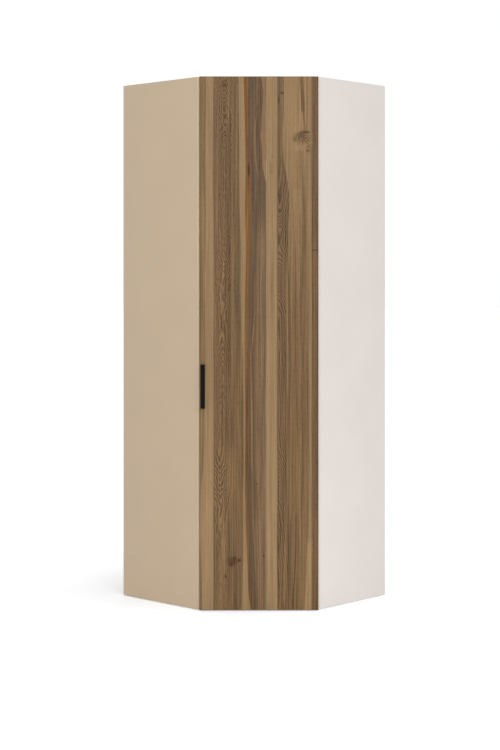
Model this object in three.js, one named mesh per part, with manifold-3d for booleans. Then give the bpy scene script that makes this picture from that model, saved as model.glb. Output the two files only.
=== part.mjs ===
// A wardrobe that stands in the corner of a room. Two side panels stand square to the two walls, five-sided
// boards join them, and one tall door closes the corner between them at 45 degrees. The door hangs on four
// concealed cup hinges, each a four-bar linkage, and has a flat bow handle on its free edge.
//
// Sizes are in millimetres. The room's corner is at x = 0, y = wallLength while the pieces are placed: X runs
// along the back wall, Y runs towards it, and Z is up. At the end the whole is moved so that the origin lies
// under the middle of its bounding box, on the floor.

import * as THREE from 'three';
import { mergeVertices } from 'three/addons/utils/BufferGeometryUtils.js';
import Module from 'manifold-3d';

const wasm = await Module();
wasm.setup();

// Whole wardrobe
const wallLength = 800;          // along each wall, from the room's corner
const height = 2200;
const sideDepth = 443;           // each side panel, from its wall to its front corner
const fit = 0.3;                 // gap wherever two pieces meet
const overrun = 6;               // how far a cutting shape passes through a face

// Boards and back sheets
const board = 18;
const sheet = 3;
const sheetInset = 1;            // the back sheets stop short of the outer faces
const plinthHeight = 60;         // floor to the underside of the bottom board
const plinthSetback = 30;
const postWidth = 90;            // each strip of the post in the room's corner
const hatShelfDrop = 300;        // clear height of the compartment at the top
const lowerShelfRise = 330;      // clear height of the compartment at the bottom
const shelfSetback = 40;

// Glides nailed under the panels
const glideRadius = 8;
const glideHeight = 3;
const glideInset = 40;
const glideChamfer = 1;
const nailRadius = 1.2;
const nailLength = 12;

// Pegs that carry the loose shelf
const pegRadius = 2.5;
const pegInset = 60;
const pegSeat = 8;               // depth in the panel
const pegBarrelRadius = 3.5;
const pegReach = 9;              // length of the barrel under the shelf
const pegPitch = 32;             // between the holes of a row, where the shelf can move to
const pegSpareHoles = 2;         // above the peg, and as many below it

// Hanging rail, an oval tube across the corner
const railLength = 600;
const railTall = 30;
const railThick = 15;
const railWall = 1.2;
const railDepth = 340;           // behind the front edges
const railDrop = 45;             // shelf to the middle of the rail
const bracketCollar = 12;        // length of rail held in each bracket
const bracketWall = 2;
const bracketFoot = 52;
const bracketFootThickness = 3;
const bracketScrewRadius = 2.2;
const bracketScrewInset = 8;     // from each end of the foot

// Steel angles that fix the top board to the wall
const angleLeg = 40;
const angleWidth = 20;
const angleThickness = 2;
const angleHoleRadius = 3;
const angleInset = 260;          // from the outer face of the side panel

// Door
const doorReveal = 7.8;          // front edge of a side panel left bare beside the door
const doorThickness = 18;
const doorGap = 2;
const doorFloorGap = 4;
const doorTopGap = 0.5;
const doorEdgeRadius = 1;
const bumperRadius = 4;
const bumperInset = 40;

// Bow handle
const handleLength = 180;
const handleWidth = 18;
const handleReach = 26;
const handleThickness = 5;
const handleLeg = 10;
const handleOuterRadius = 6;
const handleInnerRadius = 3;
const handleEdge = 0.6;
const handleInset = 4;           // from the door's free edge
const handleHeight = 924;        // floor to its middle
const handleScrewRadius = 2;
const handleScrewBite = 12;
const handleScrewHead = 4;
const handleScrewHeadHeight = 2.4;

// Concealed hinge. Points are [u, v] in plan from the middle of the cup on the door's back face: u runs
// towards the door's hinged edge and v into the cabinet. The long link turns on the outer pins and the short
// link on the inner pins.
const hingeCount = 4;
const hingeInset = 110;          // door's end to the first hinge
const cupFromEdge = 22.5;
const cupRadius = 17.5;
const cupWall = 0.9;
const cupDepth = 12.6;
const cupRim = 0.4;
const cupWingLength = 29;
const cupWingWidth = 11;
const cupWingThickness = 0.8;
const cupScrewSpan = 48;
const cupScrewRadius = 1.9;
const cupOuterPin = [12.7, -6.05];
const cupInnerPin = [7.97, -7.91];
const armOuterPin = [-6.76, 7.91];
const armInnerPin = [-13.19, -8.93];
const innerEyeOffset = [-0.12, -1.05];   // of the short link's open eye from its pin, at rest
const pinRadius = 1.25;
const pinPlay = 0.2;
const openPlay = 1.25;           // radial play at the short link's open eye
const neckNear = [3.94, 6.86];   // the long link's two knees, along and beside the line of its pins
const neckFar = [10.77, 7.55];
const longHalfWidth = 1.4;
const longEye = 2.5;
const shortHalfWidth = 1.9;
const shortEye = 2.5;
const openEyeWall = 0.7;
const tieRadius = 0.8;           // bar that ties the long link's two cheeks
const tieShift = 0.7;
const shortLayer = 2.4;          // half width of the short link along its pins
const lugLayer = [2.7, 3.4];
const armLayer = [3.7, 4.7];
const longLayer = [5, 6];
const rivetReach = 6.8;
const rivetHead = 2;
const rivetHeadHeight = 0.6;
const lugHalfWidth = 2;
const noseHalfWidth = 2.4;
const armHeight = 10;
const armLength = 58;            // along the side panel
const armSetback = 4;
const armWeb = 1.2;
const armSlotLength = 8;         // open slot at the arm's rear end, for the screw that holds it to its plate
const armSlotHalfWidth = 2.4;
const armScrewInset = 30;        // arm's rear end to the screw that moves the door sideways
const armScrewRadius = 2.7;
const plateThickness = 2;
const plateSaddle = 2.2;
const plateHalfLength = 26;
const plateDepth = 32;
const plateStart = 14;
const saddleHalfWidth = 4.9;
const plateScrewRadius = 2.4;
const plateScrewSpan = 32;

const quarterTurn = Math.PI / 2;
const rear = sheet + fit;                          // nearest a board comes to a wall
const back = wallLength - rear;
const carcassBottom = glideHeight;
const bottomTop = plinthHeight + board;
const topUnderside = height - board;
const hatShelfTop = topUnderside - hatShelfDrop;
const hatShelfUnderside = hatShelfTop - board;
const lowerShelfUnderside = bottomTop + lowerShelfRise;
const frontSpan = (wallLength - sideDepth) * Math.SQRT2;
const doorWidth = frontSpan - 2 * doorReveal;
const doorTop = height - doorTopGap;
const doorHeight = doorTop - doorFloorGap;

const finishes = {
  beigeLaminate: { color: 0xc3ae93, roughness: 0.55, metalness: 0 },
  cashmereLaminate: { color: 0xdfd6d0, roughness: 0.55, metalness: 0 },
  walnut: { color: 0x8c7152, roughness: 0.5, metalness: 0 },
  fibreboard: { color: 0xd8cfc2, roughness: 0.7, metalness: 0 },
  blackPaint: { color: 0x20201c, roughness: 0.45, metalness: 0 },
  nickel: { color: 0xb9b9b6, roughness: 0.3, metalness: 1 },
  zinc: { color: 0xa8a9a8, roughness: 0.4, metalness: 1 },
  plastic: { color: 0xe6e4de, roughness: 0.5, metalness: 0 },
  clearRubber: { color: 0xd6d6d2, roughness: 0.4, metalness: 0 },
};

function piece(name, geometry, finish) {
  const mesh = new THREE.Mesh(geometry, new THREE.MeshStandardMaterial(finishes[finish]));
  mesh.name = name;
  return mesh;
}

// Solid modelling: a closed mesh becomes a solid that can be cut and joined
function solidOf(geometry) {
  const bare = geometry.clone();
  bare.deleteAttribute('normal');
  bare.deleteAttribute('uv');
  const merged = mergeVertices(bare);
  return new wasm.Manifold(new wasm.Mesh({
    numProp: 3,
    vertProperties: new Float32Array(merged.attributes.position.array),
    triVerts: new Uint32Array(merged.index.array),
  }));
}

function geometryOf(solid) {
  const mesh = solid.getMesh();
  const geometry = new THREE.BufferGeometry();
  geometry.setAttribute('position', new THREE.BufferAttribute(mesh.vertProperties, 3));
  geometry.setIndex(new THREE.BufferAttribute(mesh.triVerts, 1));
  geometry.computeVertexNormals();
  return geometry;
}

function cut(body, ...tools) {
  return geometryOf(tools.reduce((solid, tool) => solid.subtract(solidOf(tool)), solidOf(body)));
}

function join(body, ...others) {
  return geometryOf(others.reduce((solid, other) => solid.add(solidOf(other)), solidOf(body)));
}

// A plan outline of [x, y] points, raised from one height to another
function raised(outline, low, high) {
  const shape = new THREE.Shape(outline.map(([x, y]) => new THREE.Vector2(x, y)));
  const geometry = new THREE.ExtrudeGeometry(shape, { depth: high - low, bevelEnabled: false });
  return geometry.translate(0, 0, low);
}

function block([x0, x1], [y0, y1], [z0, z1]) {
  const geometry = new THREE.BoxGeometry(x1 - x0, y1 - y0, z1 - z0);
  return geometry.translate((x0 + x1) / 2, (y0 + y1) / 2, (z0 + z1) / 2);
}

function circle([x, y], radius, sides = 12) {
  return Array.from({ length: sides }, (_, step) => {
    const angle = (step / sides) * 2 * Math.PI;
    return [x + radius * Math.cos(angle), y + radius * Math.sin(angle)];
  });
}

// A many-sided hole whose flats, not corners, lie at the radius
function hole(centre, radius, sides = 12) {
  return circle(centre, radius / Math.cos(Math.PI / sides), sides);
}

// The outline of a strip of even width along a path, with half-round ends
function strip(path, half, steps = 6) {
  const points = path.map(([x, y]) => new THREE.Vector2(x, y));
  const normals = points.slice(1).map((point, index) => {
    const along = point.clone().sub(points[index]).normalize();
    return new THREE.Vector2(-along.y, along.x);
  });
  const offsets = points.map((_, index) => {
    const before = normals[Math.max(index - 1, 0)];
    const after = normals[Math.min(index, normals.length - 1)];
    return before.clone().add(after).multiplyScalar(half / (1 + before.dot(after)));
  });
  const left = points.map((point, index) => point.clone().add(offsets[index]));
  const right = points.map((point, index) => point.clone().sub(offsets[index])).reverse();
  const end = roundEnd(points.at(-1), normals.at(-1), half, steps);
  const start = roundEnd(points[0], normals[0].clone().negate(), half, steps);
  return [...left, ...end, ...right, ...start].map(({ x, y }) => [x, y]);
}

function roundEnd(centre, normal, half, steps) {
  return Array.from({ length: steps - 1 }, (_, step) => {
    const angle = normal.angle() - (Math.PI * (step + 1)) / steps;
    return new THREE.Vector2(Math.cos(angle), Math.sin(angle)).multiplyScalar(half).add(centre);
  });
}

function rod(radius, low, high, sides = 12) {
  return raised(circle([0, 0], radius, sides), low, high);
}

// The same place on the other wall's half of the wardrobe
function acrossCorner([x, y]) {
  return [wallLength - y, wallLength - x];
}

// Pegs: the carrying face is at y = 0, and turn swings the peg round to the face that it stands in
const leftPegs = [rear + pegInset, sideDepth - pegInset].map((x) => ({ at: [x, board], turn: 0 }));
const leftPostPeg = { at: [rear + board, back - postWidth / 2], turn: -quarterTurn };
const pegHeight = lowerShelfUnderside - fit - pegBarrelRadius;

function otherPeg({ at, turn }) {
  return { at: acrossCorner(at), turn: quarterTurn - turn };
}

// A row of blind holes, so that the shelf can be set higher or lower
function pegHoles({ at: [x, y], turn }) {
  const sides = 8;
  const depth = pegSeat + fit;
  return Array.from({ length: 2 * pegSpareHoles + 1 }, (_, index) => (
    new THREE.CylinderGeometry(pegRadius + fit, pegRadius + fit, depth + overrun, sides)
      .translate(0, (overrun - depth) / 2, 0)
      .rotateZ(turn)
      .translate(x, y, pegHeight + (index - pegSpareHoles) * pegPitch)
  ));
}

function shelfPeg(name, { at: [x, y], turn }) {
  const profile = [
    [0, -pegSeat], [pegRadius, -pegSeat], [pegRadius, fit], [pegBarrelRadius, fit],
    [pegBarrelRadius, pegReach], [0, pegReach],
  ];
  const mesh = piece(name, turned(profile, 8), 'nickel');
  mesh.position.set(x, y, pegHeight);
  mesh.rotation.z = turn;
  return mesh;
}

// A profile of [radius, height] points turned about the Y axis
function turned(profile, sides) {
  return new THREE.LatheGeometry(profile.map(([radius, y]) => new THREE.Vector2(radius, y)), sides);
}

// Glides: a nail in the panel's lower edge and a hard disc under it
const leftGlides = [rear + glideInset, sideDepth - glideInset].map((x) => [x, board / 2]);
const leftPostGlide = [rear + board / 2, back - postWidth + glideInset];

function nailHole([x, y]) {
  const top = glideHeight + nailLength;
  return rod(nailRadius + fit, carcassBottom - overrun, top, 8).translate(x, y, 0);
}

function glide(name, [x, y]) {
  const seat = glideHeight - fit;
  const profile = [
    [0, 0], [glideRadius - glideChamfer, 0], [glideRadius, glideChamfer], [glideRadius, seat],
    [nailRadius, seat], [nailRadius, seat + nailLength], [0, seat + nailLength],
  ];
  const mesh = piece(name, turned(profile, 16).rotateX(quarterTurn), 'plastic');
  mesh.position.set(x, y, 0);
  return mesh;
}

// Side panels: square to their walls, with the front edge bevelled to lie parallel to the door
function sidePanels() {
  const outline = [[rear, 0], [sideDepth, 0], [sideDepth + board, board], [rear, board]];
  const left = cut(
    raised(outline, carcassBottom, height),
    ...leftPegs.flatMap(pegHoles), ...leftGlides.map(nailHole),
  );
  const right = cut(
    raised(outline.map(acrossCorner), carcassBottom, height),
    ...leftPegs.map(otherPeg).flatMap(pegHoles), ...leftGlides.map(acrossCorner).map(nailHole),
  );
  return [piece('left_side_panel', left, 'beigeLaminate'), piece('right_side_panel', right, 'cashmereLaminate')];
}

// Boards: five-sided, with the front edge on the diagonal and, lower down, a notch round the corner post
function boardOutline(setback, notched) {
  const near = board + fit;
  const far = wallLength - near;
  const frontLine = sideDepth - setback * Math.SQRT2;
  const outline = [[rear, near], [frontLine + near, near], [far, far - frontLine], [far, back]];
  return notched ? [...outline, ...postNotch()] : [...outline, [rear, back]];
}

function postNotch() {
  const inner = rear + board + fit;
  const reach = rear + postWidth + fit;
  return [[reach, back], ...[[reach, inner], [inner, inner], [inner, reach], [rear, reach]]
    .map(([x, fromBack]) => [x, wallLength - fromBack])];
}

function boards() {
  const list = [
    ['top_panel', 0, topUnderside, false],
    ['bottom_panel', 0, plinthHeight, true],
    ['hat_shelf', shelfSetback, hatShelfUnderside, true],
    ['lower_shelf', shelfSetback, lowerShelfUnderside, true],
  ];
  return list.map(([name, setback, low, notched]) => (
    piece(name, raised(boardOutline(setback, notched), low, low + board), 'beigeLaminate')
  ));
}

// Corner post: two strips that meet in an L and carry the rear of the boards
function cornerPosts() {
  const top = topUnderside - fit;
  const left = block([rear, rear + board], [back - postWidth, back], [carcassBottom, top]);
  const right = block([rear + board + fit, rear + postWidth], [back - board, back], [carcassBottom, top]);
  return [
    piece('corner_post_left', cut(left, ...pegHoles(leftPostPeg), nailHole(leftPostGlide)), 'beigeLaminate'),
    piece(
      'corner_post_right',
      cut(right, ...pegHoles(otherPeg(leftPostPeg)), nailHole(acrossCorner(leftPostGlide))),
      'beigeLaminate',
    ),
  ];
}

function backSheets() {
  const low = carcassBottom + sheetInset;
  const high = height - sheetInset;
  return [
    piece('back_sheet_left', block([0, sheet], [sheetInset, wallLength], [low, high]), 'fibreboard'),
    piece(
      'back_sheet_right',
      block([sheet + fit, wallLength - sheetInset], [wallLength - sheet, wallLength], [low, high]),
      'fibreboard',
    ),
  ];
}

// The front frame: its origin is the middle of the front line on the floor, X runs along the door towards
// its hinges and Y runs into the cabinet
function atFront(...meshes) {
  const front = new THREE.Group();
  front.position.set((sideDepth + wallLength) / 2, (wallLength - sideDepth) / 2, 0);
  front.rotation.z = quarterTurn / 2;
  front.add(...meshes);
  return front;
}

// Half the clear width between the side panels, at a depth behind the front line
function innerHalfWidth(depth) {
  return frontSpan / 2 - board * Math.SQRT2 + depth;
}

function plinthFront() {
  const [near, far] = [plinthSetback, plinthSetback + board];
  const ends = [near, far].map((depth) => innerHalfWidth(depth) - fit * Math.SQRT2);
  const outline = [[-ends[0], near], [ends[0], near], [ends[1], far], [-ends[1], far]];
  return piece('plinth_front', raised(outline, carcassBottom, plinthHeight - fit), 'beigeLaminate');
}

// Hanging rail: an oval tube, held at each end in a bracket screwed under the shelf
function oval(grow) {
  const half = railThick / 2 + grow;
  const straight = (railTall - railThick) / 2;
  return strip([[0, -straight], [0, straight]], half, 8);
}

function alongRail(outline, from, to) {
  const shape = raised(outline, from, to);
  const turn = new THREE.Matrix4().makeBasis(
    new THREE.Vector3(0, 1, 0), new THREE.Vector3(0, 0, 1), new THREE.Vector3(1, 0, 0),
  );
  return shape.applyMatrix4(turn).translate(0, railDepth, hatShelfUnderside - railDrop);
}

function hangingRail() {
  const half = railLength / 2;
  const tube = cut(alongRail(oval(0), -half, half), alongRail(oval(-railWall), -half - overrun, half + overrun));
  return piece('hanging_rail', tube, 'nickel');
}

function railBracket(name, side) {
  const cap = railLength / 2 + fit;
  const inner = cap - bracketCollar;
  const outer = cap + bracketWall;
  const grip = railThick / 2 + fit + bracketWall;
  const footTop = railDrop - fit;
  const stem = [[-grip, 0], [grip, 0], [grip, footTop], [-grip, footTop]];
  const foot = block(
    [inner, outer],
    [railDepth - bracketFoot / 2, railDepth + bracketFoot / 2],
    [hatShelfUnderside - fit - bracketFootThickness, hatShelfUnderside - fit],
  );
  const body = join(
    alongRail(oval(fit + bracketWall), inner, outer),
    alongRail(stem, cap, outer),
    foot,
  );
  const screws = [-1, 1].map((end) => (
    rod(bracketScrewRadius, hatShelfUnderside - fit - bracketFootThickness - overrun, hatShelfUnderside)
      .translate((inner + outer) / 2, railDepth + end * (bracketFoot / 2 - bracketScrewInset), 0)
  ));
  const holder = cut(body, alongRail(oval(fit), inner - overrun, cap), ...screws);
  return piece(name, side > 0 ? holder : holder.rotateZ(Math.PI).translate(0, 2 * railDepth, 0), 'nickel');
}

// Wall angles: one leg under the top board, the other on the back sheet, with a screw hole in each
function wallAngle(name, at) {
  const half = angleWidth / 2;
  const legs = [[0, 0], [angleLeg, 0], [angleLeg, -angleThickness], [angleThickness, -angleThickness],
    [angleThickness, -angleLeg], [0, -angleLeg]];
  const body = raised(legs, -half, half).rotateX(quarterTurn);
  const middle = angleLeg / 2 + angleThickness;
  const holes = [
    rod(angleHoleRadius, -angleThickness - overrun, overrun).translate(middle, 0, 0),
    rod(angleHoleRadius, -overrun, angleThickness + overrun).rotateY(quarterTurn).translate(0, 0, -middle),
  ];
  const mesh = piece(name, cut(body, ...holes), 'zinc');
  mesh.position.set(at[0], at[1], topUnderside - fit);
  return mesh;
}

function wallAngles() {
  const place = [rear, angleInset];
  const left = wallAngle('wall_angle_left', place);
  const right = wallAngle('wall_angle_right', acrossCorner(place));
  right.rotation.z = -quarterTurn;
  return [left, right];
}

// Door: one tall board with cup bores along its hinged edge and screw holes for the handle
const doorBack = -doorGap;
const doorFace = doorBack - doorThickness;
const cupCentre = doorWidth / 2 - cupFromEdge;
const handleMiddle = handleInset + handleWidth / 2 - doorWidth / 2;
const handleScrews = [-1, 1].map((end) => handleHeight + (end * (handleLength - handleLeg)) / 2);
const hingeHeights = Array.from({ length: hingeCount }, (_, index) => (
  doorFloorGap + hingeInset + ((doorHeight - 2 * hingeInset) * index) / (hingeCount - 1)
));

// A cylinder along the depth axis, between two depths
function bore(radius, sides, [x, z], [from, to]) {
  return new THREE.CylinderGeometry(radius, radius, to - from, sides).translate(x, (from + to) / 2, z);
}

function doorPanel() {
  const radius = doorEdgeRadius;
  const [halfWidth, halfHeight] = [doorWidth / 2, doorHeight / 2];
  const outline = new THREE.Shape([[-1, -1], [1, -1], [1, 1], [-1, 1]]
    .map(([x, y]) => new THREE.Vector2(x * halfWidth, y * halfHeight)));
  const slab = new THREE.ExtrudeGeometry(outline, {
    depth: doorThickness - 2 * radius,
    bevelThickness: radius,
    bevelSize: radius,
    bevelOffset: -radius,
    bevelSegments: 2,
  });
  slab.rotateX(quarterTurn).translate(0, doorBack - radius, doorFloorGap + halfHeight);
  const cups = hingeHeights.map((z) => (
    bore(cupRadius + fit, cupSides, [cupCentre, z], [doorBack - cupDepth - cupWall - fit, doorBack + overrun])
  ));
  const screws = handleScrews.flatMap((z) => [
    bore(handleScrewRadius + fit, 12, [handleMiddle, z], [doorFace - overrun, doorBack + overrun]),
    bore(handleScrewHead + fit, 12, [handleMiddle, z], [headSeat - fit, doorBack + overrun]),
  ]);
  return piece('door_panel', cut(slab, ...cups, ...screws), 'walnut');
}

// Bow handle: a flat bar on two legs, with rounded corners, screwed on from behind the door
function doorHandle() {
  const half = handleLength / 2;
  const bar = handleReach - handleThickness;
  const window = half - handleLeg;
  const profile = new THREE.Shape();
  profile.moveTo(0, -half);
  profile.absarc(handleReach - handleOuterRadius, handleOuterRadius - half, handleOuterRadius, -quarterTurn, 0);
  profile.absarc(handleReach - handleOuterRadius, half - handleOuterRadius, handleOuterRadius, 0, quarterTurn);
  profile.lineTo(0, half);
  profile.lineTo(0, window);
  profile.absarc(bar - handleInnerRadius, window - handleInnerRadius, handleInnerRadius, quarterTurn, 0, true);
  profile.absarc(bar - handleInnerRadius, handleInnerRadius - window, handleInnerRadius, 0, -quarterTurn, true);
  profile.lineTo(0, -window);
  const bow = new THREE.ExtrudeGeometry(profile, {
    depth: handleWidth - 2 * handleEdge,
    bevelThickness: handleEdge,
    bevelSize: handleEdge,
    bevelOffset: -handleEdge,
    bevelSegments: 1,
    curveSegments: 4,
  });
  const upright = new THREE.Matrix4().makeBasis(
    new THREE.Vector3(0, -1, 0), new THREE.Vector3(0, 0, 1), new THREE.Vector3(-1, 0, 0),
  );
  bow.translate(0, 0, handleEdge - handleWidth / 2).applyMatrix4(upright);
  bow.translate(handleMiddle, doorFace - fit, handleHeight);
  const holes = handleScrews.map((z) => (
    bore(handleScrewRadius + fit, 12, [handleMiddle, z], [doorFace - handleScrewBite - fit, doorFace + overrun])
  ));
  return piece('door_handle', cut(bow, ...holes), 'blackPaint');
}

// Its screws' heads are let into the door's back, clear of the side panel's front edge
const headSeat = doorBack - fit - handleScrewHeadHeight;

function handleScrew(name, z) {
  const profile = [
    [0, doorFace - handleScrewBite], [handleScrewRadius, doorFace - handleScrewBite],
    [handleScrewRadius, headSeat], [handleScrewHead, headSeat],
    [handleScrewHead, headSeat + handleScrewHeadHeight], [0, headSeat + handleScrewHeadHeight],
  ];
  return piece(name, turned(profile, 12).translate(handleMiddle, 0, z), 'zinc');
}

function doorBumper(name, z) {
  const x = bumperRadius + fit - doorWidth / 2;
  const disc = bore(bumperRadius, 12, [x, z], [doorBack + fit, -fit]);
  return piece(name, disc, 'clearRubber');
}

// Hinge cup: a round steel pot let into the door, with two screw wings and two lugs that rise from its floor.
// The short link's pin runs between the lugs, and the long link's pins from each lug to the wall beside it
const cupSides = 28;
const cupBore = cupRadius - cupWall;

function hingeCup(name) {
  const pot = turned([
    [0, -cupDepth - cupWall], [cupRadius, -cupDepth - cupWall], [cupRadius, cupRim], [cupBore, cupRim],
    [cupBore, -cupDepth], [0, -cupDepth],
  ], cupSides).rotateY(Math.PI / 2);
  const wing = cut(
    block([-cupWingWidth, cupWingWidth], [fit, fit + cupWingThickness], [-cupWingLength, cupWingLength]),
    bore(cupBore, cupSides, [0, 0], [-overrun, overrun]),
    ...[-1, 1].map((end) => (
      bore(cupScrewRadius, 8, [0, (end * cupScrewSpan) / 2], [-overrun, overrun])
    )),
  );
  const pinReach = Math.sqrt(cupBore ** 2 - cupOuterPin[0] ** 2);
  const innerPin = raised(circle(cupInnerPin, pinRadius), -lugLayer[1], lugLayer[1]);
  const foot = [cupInnerPin[0], lugHalfWidth - cupDepth - cupWall];
  const sides = [-1, 1].flatMap((side) => [
    raised(strip([foot, cupInnerPin, cupOuterPin], lugHalfWidth), ...layer(lugLayer, side)),
    raised(circle(cupOuterPin, pinRadius), ...layer([lugLayer[0], pinReach], side)),
  ]);
  return piece(name, join(pot, wing, innerPin, ...sides), 'nickel');
}

// A layer given as its inner and outer distance from the hinge's middle, on one side of it
function layer([inner, outer], side) {
  return side > 0 ? [inner, outer] : [-outer, -inner];
}

// Long link: a goose-necked cheek on each side, tied by a bar at its second knee
function longLink(name) {
  const [from, to] = [cupOuterPin, armOuterPin].map(([u, v]) => new THREE.Vector2(u, v));
  const along = to.clone().sub(from).normalize();
  const knee = ([ahead, beside]) => [
    from.x + along.x * ahead - along.y * beside,
    from.y + along.y * ahead + along.x * beside,
  ];
  const path = [cupOuterPin, knee(neckNear), knee(neckFar), armOuterPin];
  const cheeks = [-1, 1].map((side) => {
    const span = layer(longLayer, side);
    const eyes = [cupOuterPin, armOuterPin].map((pin) => raised(circle(pin, longEye), ...span));
    return join(raised(strip(path, longHalfWidth), ...span), ...eyes);
  });
  const tieAt = knee([neckFar[0], neckFar[1] - tieShift]);
  const tie = raised(circle(tieAt, tieRadius, 8), -longLayer[1], longLayer[1]);
  const reach = longLayer[1] + overrun;
  const holes = [cupOuterPin, armOuterPin].map((pin) => raised(hole(pin, pinRadius + pinPlay), -reach, reach));
  return piece(name, cut(join(...cheeks, tie), ...holes), 'nickel');
}

// Short link: a straight bar whose eye at the cup is the linkage's open pivot, with play all round its pin
function shortLink(name) {
  const openEye = cupInnerPin.map((value, axis) => value + innerEyeOffset[axis]);
  const openBore = pinRadius + openPlay;
  const body = join(
    raised(strip([openEye, armInnerPin], shortHalfWidth), -shortLayer, shortLayer),
    raised(circle(openEye, openBore + openEyeWall, 16), -shortLayer, shortLayer),
    raised(circle(armInnerPin, shortEye), -shortLayer, shortLayer),
  );
  const reach = shortLayer + overrun;
  return piece(name, cut(
    body,
    raised(hole(openEye, openBore, 16), -reach, reach),
    raised(hole(armInnerPin, pinRadius + pinPlay), -reach, reach),
  ), 'nickel');
}

// A point in the hinge's plan from the side panel's inner front corner: along its inner face and off it
function fromSide(along, off) {
  const corner = [innerHalfWidth(0) - cupCentre, doorGap];
  return [corner[0] + (along - off) * Math.SQRT1_2, corner[1] + (along + off) * Math.SQRT1_2];
}

// Hinge arm: a folded channel along the side panel whose cheeks run forward and down into the cup
const armSeat = fit + plateThickness + plateSaddle + fit;

function hingeArm(name) {
  const [inner, outer] = armLayer;
  const top = armSeat + armHeight;
  const channel = [[armSetback, armSeat], [armLength, armSeat], [armLength, top], [armSetback, top]];
  const hollow = [[armSetback - overrun, armSeat - overrun], [armLength + overrun, armSeat - overrun],
    [armLength + overrun, top - armWeb], [armSetback - overrun, top - armWeb]];
  const slot = [[armLength - armSlotLength, top - armWeb - fit], [armLength + overrun, top - armWeb - fit],
    [armLength + overrun, top + overrun], [armLength - armSlotLength, top + overrun]];
  const nosePath = [armInnerPin, armOuterPin, fromSide(2 * armSetback, armSeat + armHeight / 2)];
  const shell = join(
    raised(channel.map((point) => fromSide(...point)), -outer, outer),
    raised(strip(nosePath, noseHalfWidth), -outer, outer),
  );
  const opened = cut(
    shell,
    raised(hollow.map((point) => fromSide(...point)), -inner, inner),
    raised(strip(nosePath.slice(0, 2), noseHalfWidth + fit), -inner, inner),
    raised(slot.map((point) => fromSide(...point)), -armSlotHalfWidth, armSlotHalfWidth),
    throughArm(armLength - armSlotLength, armSlotHalfWidth),
    throughArm(armLength - armScrewInset, armScrewRadius),
  );
  const innerPin = raised(circle(armInnerPin, pinRadius), -outer, outer);
  const rivets = [-1, 1].flatMap((side) => [
    raised(circle(armOuterPin, pinRadius), ...layer([inner, rivetReach], side)),
    raised(circle(armOuterPin, rivetHead), ...layer([rivetReach - rivetHeadHeight, rivetReach], side)),
  ]);
  return piece(name, join(opened, innerPin, ...rivets), 'nickel');
}

// A round hole square to the side panel, through the top of the arm alone
function throughArm(along, radius) {
  const depth = 2 * (armWeb + fit);
  return new THREE.CylinderGeometry(radius, radius, depth, 12)
    .rotateZ(quarterTurn / 2)
    .translate(...fromSide(along, armSeat + armHeight - armWeb / 2), 0);
}

// Mounting plate: a winged base screwed to the side panel, with a raised saddle under the arm
function hingePlate(name) {
  const base = [[plateStart, fit], [plateStart + plateDepth, fit],
    [plateStart + plateDepth, fit + plateThickness], [plateStart, fit + plateThickness]];
  const saddleTop = fit + plateThickness + plateSaddle;
  const saddle = [[2 * armSetback, fit], [armLength - armSetback, fit],
    [armLength - armSetback, saddleTop], [2 * armSetback, saddleTop]];
  const middle = fromSide(plateStart + plateDepth / 2, 0);
  const holes = [-1, 1].map((end) => (
    new THREE.CylinderGeometry(plateScrewRadius, plateScrewRadius, 2 * overrun, 8)
      .rotateZ(quarterTurn / 2)
      .translate(...middle, (end * plateScrewSpan) / 2)
  ));
  const body = join(
    raised(base.map((point) => fromSide(...point)), -plateHalfLength, plateHalfLength),
    raised(saddle.map((point) => fromSide(...point)), -saddleHalfWidth, saddleHalfWidth),
  );
  return piece(name, cut(body, ...holes), 'nickel');
}

function hinge(number, z) {
  const parts = [
    hingeCup(`hinge_cup_${number}`),
    longLink(`hinge_long_link_${number}`),
    shortLink(`hinge_short_link_${number}`),
    hingeArm(`hinge_arm_${number}`),
    hingePlate(`hinge_plate_${number}`),
  ];
  const frame = new THREE.Group();
  frame.position.set(cupCentre, doorBack, z);
  frame.add(...parts);
  return frame;
}

function wardrobe() {
  const whole = new THREE.Group();
  whole.add(
    ...sidePanels(), ...boards(), ...cornerPosts(), ...backSheets(), ...wallAngles(),
    ...leftGlides.flatMap((place, index) => [
      glide(`glide_left_${index + 1}`, place),
      glide(`glide_right_${index + 1}`, acrossCorner(place)),
    ]),
    glide('glide_post_left', leftPostGlide),
    glide('glide_post_right', acrossCorner(leftPostGlide)),
    ...[...leftPegs, leftPostPeg].flatMap((place, index) => [
      shelfPeg(`shelf_peg_left_${index + 1}`, place),
      shelfPeg(`shelf_peg_right_${index + 1}`, otherPeg(place)),
    ]),
    atFront(
      plinthFront(), hangingRail(), railBracket('rail_bracket_right', 1), railBracket('rail_bracket_left', -1),
      doorPanel(), doorHandle(),
      handleScrew('handle_screw_lower', handleScrews[0]), handleScrew('handle_screw_upper', handleScrews[1]),
      doorBumper('door_bumper_lower', doorFloorGap + bumperInset),
      doorBumper('door_bumper_upper', doorTop - bumperInset),
      ...hingeHeights.map((z, index) => hinge(index + 1, z)),
    ),
  );
  const box = new THREE.Box3().setFromObject(whole, true);
  whole.position.set(-(box.min.x + box.max.x) / 2, -(box.min.y + box.max.y) / 2, -box.min.z);
  const placed = new THREE.Group();
  placed.add(whole);
  placed.updateMatrixWorld(true);
  return placed;
}

export default wardrobe();
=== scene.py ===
"""A tall corner wardrobe: two laminated side panels, a staved walnut door set across the corner between them,
a black bow handle and concealed hinges, on a plain pale floor."""
import math

import bmesh
import bpy
from mathutils import Matrix, Vector


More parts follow.
